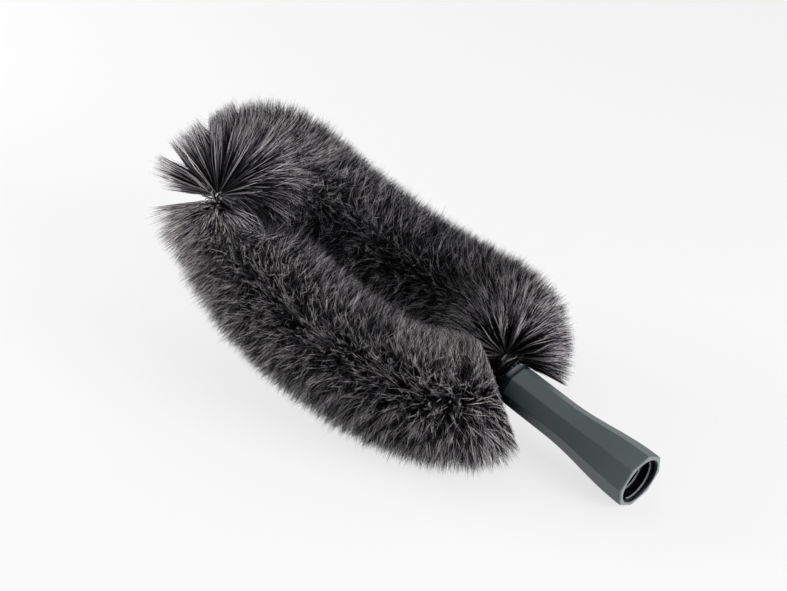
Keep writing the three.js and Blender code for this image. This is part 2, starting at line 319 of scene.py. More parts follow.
@dataclass(frozen=True)
class CapGloss:
    """Glossy black plastic with the slight waves of a dipped or shrunk band, and a painted reflection on top.
    """

    name: str = "cap_gloss_black"
    colour: tuple = (0.003, 0.004, 0.006)
    bloom: tuple = (0.010, 0.013, 0.020)
    # Colour of the painted reflection on the band's upper side.
    painted_light: tuple = (0.17, 0.185, 0.19)
    roughness: float = 0.12
    specular: float = 0.06
    wave_scale: float = 240.0
    wave_strength: float = 0.5
    wave_depth: float = 0.5 * MM
    wave_roughness: float = 0.1
    coat_power: float = 3.0

    def material(self) -> bpy.types.Material:
        """Makes the material with shallow waves in its surface, and the mesh's painted reflection."""
        shader = Shader(self.name)
        waves = shader.noise(self.wave_scale, 2.0)
        tint = shader.mix("MIX", waves, self.colour, self.bloom)
        shader.surface({
            "Base Color": shader.mix("MIX", shader.attribute("sheen"), tint, self.painted_light),
            "Roughness": self.roughness + self.wave_roughness * waves,
            "Specular IOR Level": self.specular,
            "Coat Weight": waves ** self.coat_power,
        })
        shader.bump(waves, self.wave_strength, self.wave_depth)
        return shader.material


@dataclass(frozen=True)
class DrawnSteel:
    """Bright drawn wire with fine streaks."""

    name: str = "drawn_steel"
    colour: tuple = (0.62, 0.62, 0.61)
    dull: tuple = (0.36, 0.355, 0.35)
    streak_scale: float = 900.0
    smoothest: float = 0.16
    streak_roughness: float = 0.16

    def material(self) -> bpy.types.Material:
        """Makes the metal with streaks in its colour and roughness."""
        shader = Shader(self.name)
        streaks = shader.noise(self.streak_scale, 3.0)
        shader.surface({
            "Base Color": shader.mix("MIX", streaks, self.dull, self.colour),
            "Metallic": 1.0,
            "Roughness": self.smoothest + self.streak_roughness * streaks,
        })
        return shader.material


@dataclass(frozen=True)
class FloorPaper:
    """White paper floor: the eye and reflections see it nearly white, with the duster's shadow on it."""

    name: str = "floor_paper"
    colour: tuple = (0.86, 0.86, 0.86)
    roughness: float = 0.9
    glow: float = 0.7

    def material(self) -> bpy.types.Material:
        """Makes the floor's material."""
        shader = Shader(self.name)
        shader.surface({"Base Color": self.colour, "Roughness": self.roughness})
        path = shader.node("ShaderNodeLightPath").outputs
        seen = Value(shader, path["Is Camera Ray"]) + Value(shader, path["Is Glossy Ray"])
        seen = seen + Value(shader, path["Is Transmission Ray"])
        white = shader.node("ShaderNodeEmission", {}, {"Strength": 1.0})
        sockets = {0: seen * self.glow, 1: shader.bsdf.outputs[0], 2: white.outputs[0]}
        mixed = shader.node("ShaderNodeMixShader", {}, sockets)
        shader.feed(shader.output.inputs["Surface"], mixed.outputs[0])
        return shader.material


@dataclass(frozen=True)
class Lie:
    """How the duster lies on the floor: resting on both legs of the loop and the socket's rim."""

    roll: float = -0.0794134
    mount_name: str = "socket_mouth"
    mount_on_bench: tuple = (100 * MM, 15.7 * MM, 0.0)

    def matrix(self) -> Matrix:
        """Returns the move from the bench to the floor, worked out from the record's mount."""
        mount = next(m for m in frame["record"]["mounts"] if m["name"] == self.mount_name)
        axis = Vector(mount["axis"])
        tilt = math.atan2(-axis.z, axis.x)
        turn = Matrix.Rotation(tilt, 4, "Y") @ Matrix.Rotation(self.roll, 4, "X")
        return Matrix.Translation(Vector(mount["pos_m"]) - turn @ Vector(self.mount_on_bench)) @ turn


def placed(name: str, data: bpy.types.ID) -> bpy.types.Object:
    """Puts an object with that data in the scene."""
    made = bpy.data.objects.new(name, data)
    bpy.context.scene.collection.objects.link(made)
    return made


def as_piece(mesh: bpy.types.Mesh, finish: bpy.types.Material, slot: Slot, *nodes: str) -> bpy.types.Object:
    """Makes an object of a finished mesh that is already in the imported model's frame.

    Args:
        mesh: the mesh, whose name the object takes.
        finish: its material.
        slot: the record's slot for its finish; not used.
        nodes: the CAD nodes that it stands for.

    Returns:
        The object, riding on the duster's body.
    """
    piece = placed(mesh.name, mesh)
    mesh.materials.append(finish)
    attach(piece, "root")
    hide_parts(*nodes)
    LOG.info("%s: %d faces", piece.name, len(mesh.polygons))
    return piece


def mesh_of(bm: bmesh.types.BMesh, name: str, lie: Matrix) -> bpy.types.Mesh:
    """Lays a bench mesh on the floor.

    Args:
        bm: the mesh on the bench, which is freed.
        name: name of the new mesh.
        lie: the move from the bench to the floor.

    Returns:
        The new mesh, smooth-shaded.
    """
    bmesh.ops.remove_doubles(bm, verts=bm.verts, dist=TOUCH)
    bmesh.ops.recalc_face_normals(bm, faces=bm.faces)
    bmesh.ops.transform(bm, matrix=lie, verts=bm.verts)
    for face in bm.faces:
        face.smooth = True
    mesh = bpy.data.meshes.new(name)
    bm.to_mesh(mesh)
    bm.free()
    return mesh


def of_kind(geom: list, kind: type) -> list:
    """Picks the items of one type out of an operator's result."""
    return [item for item in geom if isinstance(item, kind)]


def sharp_edges(bm: bmesh.types.BMesh) -> list[bmesh.types.BMEdge]:
    """Edges at which two faces meet at more than the crisp angle."""
    return [e for e in bm.edges if e.is_manifold and e.calc_face_angle(0.0) > CRISP_ANGLE]


def round_edges(bm: bmesh.types.BMesh, edges: list[bmesh.types.BMEdge], width: float,
                steps: int = 3) -> list[bmesh.types.BMVert]:
    """Rounds edges.

    Args:
        bm: the mesh.
        edges: the edges to round.
        width: how far the round reaches on each side of an edge.
        steps: faces across the round.

    Returns:
        The round's corners.
    """
    return bmesh.ops.bevel(bm, geom=edges, offset=width, segments=steps, profile=0.5, affect="EDGES",
                           material=-1)["verts"]


def ring_at(bm: bmesh.types.BMesh, sides: int, radius: float, along: float) -> list[bmesh.types.BMEdge]:
    """Adds a ring round the X axis.

    Args:
        bm: the mesh.
        sides: corners of the ring, the first of which is on +Y.
        radius: distance of its corners from the axis.
        along: place on the axis.

    Returns:
        The ring's edges.
    """
    verts = bmesh.ops.create_circle(bm, segments=sides, radius=radius)["verts"]
    bmesh.ops.rotate(bm, verts=verts, matrix=Matrix.Rotation(math.pi / 2, 3, "Y"))
    bmesh.ops.translate(bm, verts=verts, vec=(along, 0, 0))
    return list({e for v in verts for e in v.link_edges})


def drawn_on(bm: bmesh.types.BMesh, edges: list[bmesh.types.BMEdge],
             profile: list[tuple[float, float]]) -> list[bmesh.types.BMEdge]:
    """Extrudes a ring round the X axis through a profile.

    Args:
        bm: the mesh.
        edges: the ring to start from.
        profile: (place on the axis, radius) of the ring itself and of each new ring.

    Returns:
        The last ring's edges.
    """
    for (start, from_radius), (end, radius) in zip(profile, profile[1:]):
        made = bmesh.ops.extrude_edge_only(bm, edges=edges)["geom"]
        verts = of_kind(made, bmesh.types.BMVert)
        edges = of_kind(made, bmesh.types.BMEdge)
        ratio = radius / from_radius
        bmesh.ops.scale(bm, vec=(1, ratio, ratio), verts=verts)
        bmesh.ops.translate(bm, vec=(end - start, 0, 0), verts=verts)
    return edges


def level_facets(piece: bpy.types.Object) -> None:
    """Keeps flat facets flat beside rounded edges, and creases over the crease angle sharp."""
    piece.data.set_sharp_from_angle(angle=CREASE_ANGLE)
    weighted = piece.modifiers.new("level_facets", "WEIGHTED_NORMAL")
    weighted.keep_sharp = True


@dataclass
class PoleSocket:
    """Eight-sided moulded socket, slim at the brush end and flared to a threaded mouth."""

    length: float = 100 * MM
    start: float = 5.3 * MM
    sides: int = 8
    cuts: int = 5
    top_radius: float = 12.6 * MM
    mouth_radius: float = 17.3 * MM
    flare_start: float = 38 * MM
    flare_steps: int = 20
    first_rings: tuple = mm(14, 24)
    mouth_lip: float = 3 * MM
    bore_depth: float = 45 * MM
    bore_mouth_radius: float = 14.2 * MM
    bore_end_radius: float = 9.8 * MM
    lead_in: float = 1 * MM
    bore_rings: int = 6
    wall_margin: float = 0.5 * MM
    edge_round: float = 0.45 * MM
    thread_pitch: float = 5.6 * MM
    thread_turns: float = 5.5
    thread_height: float = 1.0 * MM
    thread_foot: float = 1.9 * MM
    thread_crest: float = 0.7 * MM
    thread_start: float = 1.7 * MM
    thread_from: float = math.radians(240)
    thread_steps: int = 36
    thread_sunk: float = 0.4 * MM
    thread_shoulder: float = 0.85
    thread_shine: float = 2.0
    crest_margin: float = 0.1 * MM
    # Painted shadow beside the cap: its depth, how far it fades along the socket, and how low a facet must
    # face to take it.
    cap_shadow: float = 0.95
    cap_shadow_fade: float = 14 * MM
    cap_shadow_from: float = 0.5
    upward: tuple = (0.33, 0.94)

    def radius_at(self, along: float) -> float:
        """Corner radius of the octagon at a place on the axis."""
        flare = self.length - self.mouth_lip - self.flare_start
        share = share_of((along - self.flare_start) / flare)
        return self.top_radius + (self.mouth_radius - self.top_radius) * (1 - math.cos(math.pi * share)) / 2

    def bore_radius(self, along: float) -> float:
        """Radius of the bore's wall at a place on the axis."""
        mouth = self.length - self.lead_in
        widest = self.bore_mouth_radius - self.lead_in
        slope = (widest - self.bore_end_radius) / (self.bore_depth - self.lead_in)
        return widest - slope * (mouth - along)

    def shell(self) -> bmesh.types.BMesh:
        """Models the outside, the flat ring of the mouth and the tapered bore."""
        bm = bmesh.new()
        flare_end = self.length - self.mouth_lip
        stops = [self.start, *(self.start + ring for ring in self.first_rings)]
        stops += list(np.linspace(self.flare_start, flare_end, self.flare_steps + 1))
        stops += [self.length - 3 * self.edge_round, self.length]
        octagon = ring_at(bm, self.sides, self.top_radius, self.start)
        bmesh.ops.subdivide_edges(bm, edges=octagon, cuts=self.cuts, use_grid_fill=False)
        foot = list(bm.edges)
        mouth = drawn_on(bm, foot, [(x, self.radius_at(x)) for x in stops])
        bmesh.ops.contextual_create(bm, geom=foot)
        bore = ring_at(bm, self.sides * (self.cuts + 1), self.bore_mouth_radius, self.length)
        bmesh.ops.bridge_loops(bm, edges=mouth + bore)
        deep = np.linspace(self.length - self.lead_in, self.length - self.bore_depth, self.bore_rings)
        profile = [(self.length, self.bore_mouth_radius)] + [(x, self.bore_radius(x)) for x in deep]
        end = drawn_on(bm, bore, profile)
        bmesh.ops.contextual_create(bm, geom=end)
        bmesh.ops.recalc_face_normals(bm, faces=bm.faces)
        # Painted highlight: the rounded rim of the mouth is made paler, standing in for light on the edge.
        painted_highlight = bm.verts.layers.float.new("painted_highlight")
        for vert in round_edges(bm, sharp_edges(bm), self.edge_round):
            if vert.co.x > self.length - 2 * self.edge_round:
                vert[painted_highlight] = 1.0
        # Painted shade: the bore is painted black, and the low facets next to the cap fade to black as a
        # painted shadow.
        painted_shade = bm.verts.layers.float.new("painted_shade")
        for vert in bm.verts:
            vert[painted_shade] = self.painted_shade_at(vert.co)
            if vert[painted_shade] == 1.0:
                vert[painted_highlight] = 0.0
        return bm

    def painted_shade_at(self, place: Vector) -> float:
        """Painted shade at a place: all of it in the bore, and a painted shadow fading low down by the cap.
        """
        off_axis = math.hypot(place.y, place.z)
        at_mouth = place.x > self.length - 2 * self.lead_in
        wall = self.bore_mouth_radius if at_mouth else self.bore_radius(place.x) + self.wall_margin
        if off_axis < wall:
            return 1.0
        height = (self.upward[0] * place.y + self.upward[1] * place.z) / off_axis
        low = share_of(self.cap_shadow_from - height)
        return self.cap_shadow * low * math.exp((self.start - place.x) / self.cap_shadow_fade)

    def thread(self, bm: bmesh.types.BMesh) -> None:
        """Adds the coarse thread ridge that winds down the bore."""
        first = self.length - self.thread_start
        foot, crest = self.thread_foot / 2, self.thread_crest / 2
        outer = self.bore_mouth_radius + self.thread_sunk
        inner = self.bore_mouth_radius - self.thread_height
        up = self.thread_shoulder
        half = [(foot, outer), (foot + up * (crest - foot), outer + up * (inner - outer)), (crest, inner)]
        corners = [(first + x, radius) for x, radius in half]
        corners += [(first - x, radius) for x, radius in half[::-1]]
        old = set(bm.verts)
        side = math.cos(self.thread_from), math.sin(self.thread_from)
        verts = [bm.verts.new((x, radius * side[0], radius * side[1])) for x, radius in corners]
        profile = bm.faces.new(verts)
        steps = round(self.thread_steps * self.thread_turns)
        lead = -self.thread_pitch / self.thread_steps
        bmesh.ops.spin(bm, geom=[profile, *profile.edges, *verts], cent=(0, 0, 0), axis=(1, 0, 0),
                       dvec=(lead, 0, 0), angle=FULL_TURN * self.thread_turns, steps=steps,
                       use_duplicate=False)
        # Painted shade and highlight: the thread's flanks are painted black like the bore, and its crest is
        # made paler as if lit.
        painted_shade, painted_highlight = (bm.verts.layers.float[name] for name in ("painted_shade", "painted_highlight"))
        for vert in bm.verts:
            if vert not in old:
                off_axis = math.hypot(vert.co.y, vert.co.z)
                on_crest = off_axis < inner + self.crest_margin
                vert[painted_shade], vert[painted_highlight] = (0.0, self.thread_shine) if on_crest else (1.0, 0.0)
                ratio = (off_axis + self.bore_radius(vert.co.x) - self.bore_mouth_radius) / off_axis
                vert.co.y, vert.co.z = vert.co.y * ratio, vert.co.z * ratio

    def build(self, lie: Matrix, finish: bpy.types.Material) -> bpy.types.Object:
        """Models the socket and dresses it.

        Args:
            lie: the move from the bench to the floor.
            finish: its material.

        Returns:
            The piece.
        """
        bm = self.shell()
        self.thread(bm)
        piece = as_piece(mesh_of(bm, "socket_body", lie), finish, Slot.SOCKET, "pole_socket")
        level_facets(piece)
        return piece


@dataclass
class NeckCap:
    """Glossy band with a rounded shoulder on the socket's brush end, and the neck that both stems leave."""

    band: float = 5.0 * MM
    radius: float = 12.75 * MM
    sides: int = 8
    cuts: int = 5
    shoulder: float = 1.8 * MM
    shoulder_steps: int = 4
    back_edge: float = 0.3 * MM
    corner_round: float = 0.9 * MM
    stem_offset: float = 3.648 * MM
    neck_radius: float = 5.25 * MM
    neck_wall: float = 1.5 * MM
    neck_reach: float = 3.0 * MM
    neck_sides: int = 32
    neck_hollow: float = 2 * MM
    rim_round: float = 0.4 * MM
    rim_steps: int = 2
    sheen_start: float = 0.8
    sheen_way: tuple = (-0.2, 0.98)
    sheen_margin: float = 0.4 * MM

    def hood(self, bm: bmesh.types.BMesh) -> None:
        """Adds the band and its rounded shoulder."""
        arc = [math.pi / 2 * k / self.shoulder_steps for k in range(self.shoulder_steps + 1)]
        profile = [(self.band, self.radius - self.back_edge), (self.band - self.back_edge, self.radius)]
        for angle in arc:
            inward = self.shoulder * (1 - math.cos(angle))
            profile.append((self.shoulder * (1 - math.sin(angle)), self.radius - inward))
        edges = ring_at(bm, self.sides, profile[0][1], profile[0][0])
        back = bmesh.ops.subdivide_edges(bm, edges=edges, cuts=self.cuts)
        foot = of_kind(back["geom"], bmesh.types.BMEdge)
        front = drawn_on(bm, foot, profile)
        bmesh.ops.contextual_create(bm, geom=foot)
        bmesh.ops.contextual_create(bm, geom=front)
        corners = [e for e in sharp_edges(bm) if abs(e.verts[0].co.x - e.verts[1].co.x) > TOUCH]
        round_edges(bm, corners, self.corner_round)

    def neck(self, bm: bmesh.types.BMesh) -> None:
        """Adds the oval neck, hollowed round the two stems."""
        edges = ring_at(bm, self.neck_sides, self.neck_radius, self.band / 2)
        verts = {v for e in edges for v in e.verts}
        for side in (-1, 1):
            half = [v for v in verts if v.co.y * side > -TOUCH]
            bmesh.ops.translate(bm, verts=half, vec=(0, side * self.stem_offset, 0))
        root = bmesh.ops.contextual_create(bm, geom=edges)["faces"]
        made = bmesh.ops.extrude_face_region(bm, geom=root)["geom"]
        front = of_kind(made, bmesh.types.BMFace)
        moved = of_kind(made, bmesh.types.BMVert)
        bmesh.ops.translate(bm, verts=moved, vec=(-self.neck_reach - self.band / 2, 0, 0))
        bmesh.ops.inset_region(bm, faces=front, thickness=self.neck_wall, use_even_offset=True)
        floor = list({v for f in front for v in f.verts})
        bmesh.ops.translate(bm, verts=floor, vec=(self.neck_hollow, 0, 0))
        rim = [e for e in bm.edges if all(abs(v.co.x + self.neck_reach) < TOUCH for v in e.verts)]
        round_edges(bm, rim, self.rim_round, self.rim_steps)

    def build(self, lie: Matrix, finish: bpy.types.Material) -> bpy.types.Object:
        """Models the cap and dresses it.

        Args:
            lie: the move from the bench to the floor.
            finish: its material.

        Returns:
            The piece.
        """
        bm = bmesh.new()
        self.hood(bm)
        neck = bmesh.new()
        self.neck(neck)
        bmesh.ops.recalc_face_normals(neck, faces=neck.faces)
        joined = bpy.data.meshes.new("neck")
        neck.to_mesh(joined)
        neck.free()
        bm.from_mesh(joined)
        bpy.data.meshes.remove(joined)
        # Painted reflection: the band's upper facets are made paler, standing in for a reflection.
        sheen = bm.verts.layers.float.new("sheen")
        for vert in bm.verts:
            off_axis = max(math.hypot(vert.co.y, vert.co.z), MM)
            upward = (self.sheen_way[0] * vert.co.y + self.sheen_way[1] * vert.co.z) / off_axis
            on_band = self.shoulder / 2 < vert.co.x < self.band - self.sheen_margin
            if on_band and off_axis > self.neck_radius:
                vert[sheen] = share_of((upward - self.sheen_start) / (1 - self.sheen_start))
        piece = as_piece(mesh_of(bm, "cap_body", lie), finish, Slot.CAP, "neck_cap")
        level_facets(piece)
        return piece


@dataclass
class StemRoute:
    """Route of the twisted stem: out of the socket, round the arched loop and back into the socket."""

    loop_length: float = 197 * MM
    half_width: float = 52.5 * MM
    egg: float = 0.13
    bluntness: float = 0.4
    yaw: float = math.radians(12.3)
    neck_lean: float = 0.34
    neck_reach: float = 9.9 * MM
    neck_rise: float = 3.2 * MM
    neck_dip: float = 15 * MM
    neck_dip_width: float = 18 * MM
    neck_straight: float = 7 * MM
    neck_spread: float = 1 * MM
    arch_depth: float = 19.7 * MM
    tip_rise: float = 27.8 * MM
    quarter_points: int = 7
    crowding: float = 1.8
    far_leg_start: int = 2
    stem_offset: float = 3.648 * MM
    inside: float = 36 * MM
    step: float = 2.75 * MM
    steps_per_turn: float = 7.6
    fine_step: float = 0.5 * MM
    bare_reach: tuple = mm(14, 5)
    places: np.ndarray = field(init=False)
    tangents: np.ndarray = field(init=False)
    normals: np.ndarray = field(init=False)
    along: np.ndarray = field(init=False)

    def __post_init__(self) -> None:
        """Works out even stations along the route, each with its directions."""
        smooth = self.smooth(np.vstack([self.stem_end(1), self.loop(), self.stem_end(-1)[::-1]]))
        run = np.concatenate([[0], np.cumsum(np.linalg.norm(np.diff(smooth, axis=0), axis=1))])
        self.along = np.linspace(0, run[-1], round(run[-1] / self.fine_step) + 1)
        self.places = np.stack([np.interp(self.along, run, axis) for axis in smooth.T], 1)
        slopes = np.gradient(self.places, self.along, axis=0)
        self.tangents = unit(slopes)
        normal = np.array([0.0, 0.0, -1.0])
        carried = []
        for tangent in self.tangents:
            normal = normal - tangent * (normal @ tangent)
            normal = normal / np.linalg.norm(normal)
            carried.append(normal)
        self.normals = np.array(carried)

    def stem_end(self, side: int) -> np.ndarray:
        """Points of one stem end, from deep in the socket to the neck."""
        offset = side * self.stem_offset
        spread = side * (self.stem_offset + self.neck_spread)
        return np.array([(self.inside, offset, 0), (self.inside / 2, offset, 0), (0, offset, 0),
                         (-self.neck_straight, spread, 0)])

    def loop(self) -> np.ndarray:
        """Points round the loop, closer together at the neck and at the tip."""
        quarter = math.pi / 2 * (np.arange(self.quarter_points + 1) / self.quarter_points) ** self.crowding
        half = np.concatenate([quarter[1:], math.pi - quarter[-2::-1]])
        angles = np.concatenate([half[self.far_leg_start :], FULL_TURN - half[-2::-1]])
        q, s = np.cos(angles), np.sin(angles)
        y = self.half_width * np.sign(s) * np.abs(s) ** self.bluntness * (1 + self.egg * q)
        near_neck = ((1 + q) / 2) ** 2
        dip = self.neck_dip * np.exp(-((y / self.neck_dip_width) ** 2))
        x = -self.loop_length / 2 * (1 - q) - (self.neck_lean * y + dip) * near_neck
        z = -self.arch_depth * (1 - q * q) + self.tip_rise * (1 - q) / 2
        cos, sin = math.cos(self.yaw), math.sin(self.yaw)
        return np.stack([x * cos - y * sin - self.neck_reach, x * sin + y * cos, z + self.neck_rise], 1)

    @staticmethod
    def smooth(knots: np.ndarray, per_span: int = 40) -> np.ndarray:
        """Draws a smooth curve through knots, with speeds that keep tight bends round.

        Args:
            knots: points that the curve passes through.
            per_span: points for each span.

        Returns:
            Points along the curve.
        """
        padded = np.vstack([2 * knots[0] - knots[1], knots, 2 * knots[-1] - knots[-2]])
        gaps = np.sqrt(np.linalg.norm(np.diff(padded, axis=0), axis=1))[:, None]
        slopes = np.diff(padded, axis=0) / gaps
        speeds = slopes[:-1] - (padded[2:] - padded[:-2]) / (gaps[1:] + gaps[:-1]) + slopes[1:]
        u = (np.arange(per_span) / per_span)[None, :, None]
        first, second, gap = knots[:-1, None], knots[1:, None], gaps[1:-1, None]
        start, end = speeds[:-1, None] * gap, speeds[1:, None] * gap
        drawn = ((2 * u**3 - 3 * u**2 + 1) * first + (u**3 - 2 * u**2 + u) * start
                 + (3 * u**2 - 2 * u**3) * second + (u**3 - u**2) * end)
        return np.vstack([drawn.reshape(-1, 3), knots[-1]])

    def twist(self, along: np.ndarray) -> np.ndarray:
        """Angle of the twist at places along the stem."""
        total = self.along[-1]
        return along / (total / round(total / self.step)) * FULL_TURN / self.steps_per_turn

    def at(self, along: np.ndarray) -> tuple[np.ndarray, np.ndarray, np.ndarray, np.ndarray]:
        """Reads the route at places along it.

        Args:
            along: distances from the stem's first end.

        Returns:
            Places, tangents, normals and binormals.
        """
        place, tangent, normal = (
            np.stack([np.interp(along, self.along, axis) for axis in held.T], 1)
            for held in (self.places, self.tangents, self.normals)
        )
        tangent = unit(tangent)
        normal = unit(normal - tangent * (normal * tangent).sum(1)[:, None])
        return place, tangent, normal, np.cross(tangent, normal)

    def nearest(self, place: tuple) -> float:
        """Distance along the stem of its nearest point to a place."""
        return float(self.along[np.linalg.norm(self.places - np.array(place), axis=1).argmin()])

    def outward(self, along: float, reach: float = 8 * MM) -> np.ndarray:
        """Direction of the outer side of the bend at a place along the stem."""
        _, tangents, _, _ = self.at(np.array([along - reach, along + reach]))
        bend = tangents[0] - tangents[1]
        return bend / np.linalg.norm(bend)

    def bristled(self) -> tuple[float, float]:
        """First and last place along the stem that carries bristles."""
        off_axis = np.hypot(self.places[:, 1], self.places[:, 2])
        first, last = (self.along[off_axis > reach] for reach in self.bare_reach)
        return float(first[0]), float(last[-1])


@dataclass
class StemWire:
    """One of the two wires that are twisted together along the stem."""

    name: str
    node: str
    side: int
    radius: float = 1.0 * MM
    orbit: float = 2.348 * MM
    spacing: float = 1.3 * MM
    roundness: int = 2

    def build(self, route: StemRoute, lie: Matrix, finish: bpy.types.Material) -> bpy.types.Object:
        """Bends the wire along the stem and dresses it.

        Args:
            route: the stem's route.
            lie: the move from the bench to the floor.
            finish: its material.

        Returns:
            The piece.
        """
        along = np.linspace(0, route.along[-1], round(route.along[-1] / self.spacing))
        place, _, normal, binormal = route.at(along)
        angle = route.twist(along) + self.side * math.pi / 2
        points = place + self.orbit * between(angle, normal, binormal)
        curve = bpy.data.curves.new(self.name, "CURVE")
        curve.dimensions = "3D"
        curve.bevel_depth, curve.bevel_resolution, curve.use_fill_caps = self.radius, self.roundness, True
        spline = curve.splines.new("POLY")
        spline.points.add(len(points) - 1)
        weighted = np.hstack([points, np.ones((len(points), 1))])
        spline.points.foreach_set("co", weighted.astype(np.float32).ravel())
        drawn = bpy.data.objects.new(self.name, curve)
        bm = bmesh.new()
        bm.from_mesh(drawn.to_mesh())
        drawn.to_mesh_clear()
        bpy.data.objects.remove(drawn)
        bpy.data.curves.remove(curve)
        return as_piece(mesh_of(bm, self.name, lie), finish, Slot.STEEL, self.node)


@dataclass
class Ground:
    """How far a strand may grow from each place on the stem before another run or the socket is nearer."""

    route: StemRoute
    socket: PoleSocket
    spacing: float = 2.5 * MM
    directions: int = 48
    longest: float = 46 * MM
    shortest: float = 5 * MM
    probe: float = 1.5 * MM
    overlap: float = 7.0 * MM
    socket_gap: float = 1.5 * MM
    neck_reach: float = 3 * MM
    along: np.ndarray = field(init=False)
    reach: np.ndarray = field(init=False)

    def __post_init__(self) -> None:
        """Probes outward from places along the bristled run."""
        start, end = self.route.bristled()
        self.along = np.linspace(start, end, round((end - start) / self.spacing))
        others = self.route.places[:: round(self.spacing / self.route.fine_step)]
        place, _, normal, binormal = self.route.at(self.along)
        angle = np.arange(self.directions) * FULL_TURN / self.directions
        probes = np.arange(self.shortest, self.longest + self.probe, self.probe)
        self.reach = np.empty((len(self.along), self.directions))
        for i in range(len(self.along)):
            ways = between(angle, normal[i], binormal[i])
            points = place[i] + probes[None, :, None] * ways[:, None, :]
            nearest = np.linalg.norm(points[:, :, None] - others, axis=3).min(2)
            shut = (nearest < probes - self.overlap) | self.in_socket(points)
            first = np.where(shut.any(1), shut.argmax(1), len(probes))
            self.reach[i] = probes[0] + (first - 1) * self.probe

    def in_socket(self, points: np.ndarray) -> np.ndarray:
        """Whether points are in the cap or the socket, or just beside them."""
        radius = np.vectorize(self.socket.radius_at)(points[..., 0])
        beside = (points[..., 0] > -self.neck_reach - self.socket_gap) & (points[..., 0] < self.socket.length)
        return beside & (np.hypot(points[..., 1], points[..., 2]) < radius + self.socket_gap)

    def at(self, along: np.ndarray, angle: np.ndarray) -> np.ndarray:
        """Reads the reach for places along the stem and directions round it."""
        row = np.rint(np.interp(along, self.along, np.arange(len(self.along)))).astype(int)
        column = np.rint(angle / FULL_TURN * self.directions).astype(int) % self.directions
        return self.reach[row, column]


@dataclass
class Strand:
    """The filament that is repeated: three-sided and tapered, with a ring between root and tip."""

    middle: float = 0.55
    sides: int = 3
    corners: np.ndarray = field(init=False)
    loops: np.ndarray = field(init=False)
    starts: np.ndarray = field(init=False)
    around: np.ndarray = field(init=False)

    def __post_init__(self) -> None:
        """Models the filament of unit length along Z and keeps its corners and faces."""
        bm = bmesh.new()
        bmesh.ops.create_cone(bm, cap_ends=True, segments=self.sides, radius1=1, radius2=1e-3, depth=1)
        bmesh.ops.translate(bm, verts=bm.verts, vec=(0, 0, 0.5))
        bmesh.ops.remove_doubles(bm, verts=[v for v in bm.verts if v.co.z > 0.5], dist=0.01)
        sides = [e for e in bm.edges if abs(e.verts[0].co.z - e.verts[1].co.z) > 0.5]
        bmesh.ops.subdivide_edges(bm, edges=sides, cuts=1)
        for vert in bm.verts:
            if 0.1 < vert.co.z < 0.9:
                vert.co = (vert.co.x * 2, vert.co.y * 2, self.middle)
        bmesh.ops.recalc_face_normals(bm, faces=bm.faces)
        bm.verts.index_update()
        self.corners = np.array([v.co[:] for v in bm.verts])
        self.loops = np.array([v.index for f in bm.faces for v in f.verts])
        self.starts = np.cumsum([0] + [len(f.verts) for f in bm.faces])[:-1]
        self.around = np.array([self.turn_share(f, v) for f in bm.faces for v in f.verts])
        bm.free()

    @staticmethod
    def turn_share(face: bmesh.types.BMFace, vert: bmesh.types.BMVert) -> float:
        """Share of a turn round the filament at a face's corner, without a jump inside the face."""
        middle = face.calc_center_median()
        centre = math.atan2(middle.y, middle.x) % FULL_TURN
        if math.hypot(vert.co.x, vert.co.y) < 0.01:
            return centre / FULL_TURN
        off = (math.atan2(vert.co.y, vert.co.x) - centre + math.pi) % FULL_TURN - math.pi
        return (centre + off) / FULL_TURN


@dataclass(frozen=True)
class EndPlane:
    """Plane on the bench that a leg's bristles are combed behind, with a ragged edge unless quite firm."""

    point: tuple
    normal: tuple
    whole: float
    side: tuple = (0, 0, 0)
    least_share: float = 1.0
    free: float = 0.0
    slope: float = 1.2
    firmness: float = 0.93
    side_from: float = -0.15
    side_over: float = 0.3

    def share(self, root: np.ndarray, way: np.ndarray) -> np.ndarray:
        """How far strands follow the plane: in full on its side, and not at all if they start by the neck."""
        held = np.clip((way @ np.array(self.side) - self.side_from) / self.side_over, self.least_share, 1)
        return (held * (np.hypot(root[:, 1], root[:, 2]) > self.free))[:, None]

    def comb(self, root: np.ndarray, way: np.ndarray, reach: np.ndarray) -> np.ndarray:
        """Turns the strands that would pass the plane so that their tips lie on it.

        Args:
            root: where the strands start.
            way: their directions.
            reach: their lengths.

        Returns:
            The new directions.
        """
        normal = np.array(self.normal) / np.linalg.norm(self.normal)
        off = root - np.array(self.point)
        room = np.clip(off @ normal, 0, None)
        room = room + self.slope * np.clip(np.linalg.norm(off, axis=1) - self.whole, 0, None)
        rise = way @ normal
        least = np.maximum(-room / reach, -1.0)
        flat = unit(way - rise[:, None] * normal, TOUCH)
        turned = flat * np.sqrt(1 - least**2)[:, None] + least[:, None] * normal
        turned = unit(way + self.share(root, way) * (turned - way))
        return np.where((rise < least)[:, None], turned, way)

    def press(self, root: np.ndarray, way: np.ndarray, points: np.ndarray) -> np.ndarray:
        """Moves points of strands that start near the plane back to it, where they are past it."""
        normal = np.array(self.normal) / np.linalg.norm(self.normal)
        near = np.linalg.norm(root - np.array(self.point), axis=1) < self.whole
        past = np.clip((np.array(self.point) - points) @ normal, 0, None) * near
        return points + self.firmness * self.share(root, way) * past[:, None] * normal


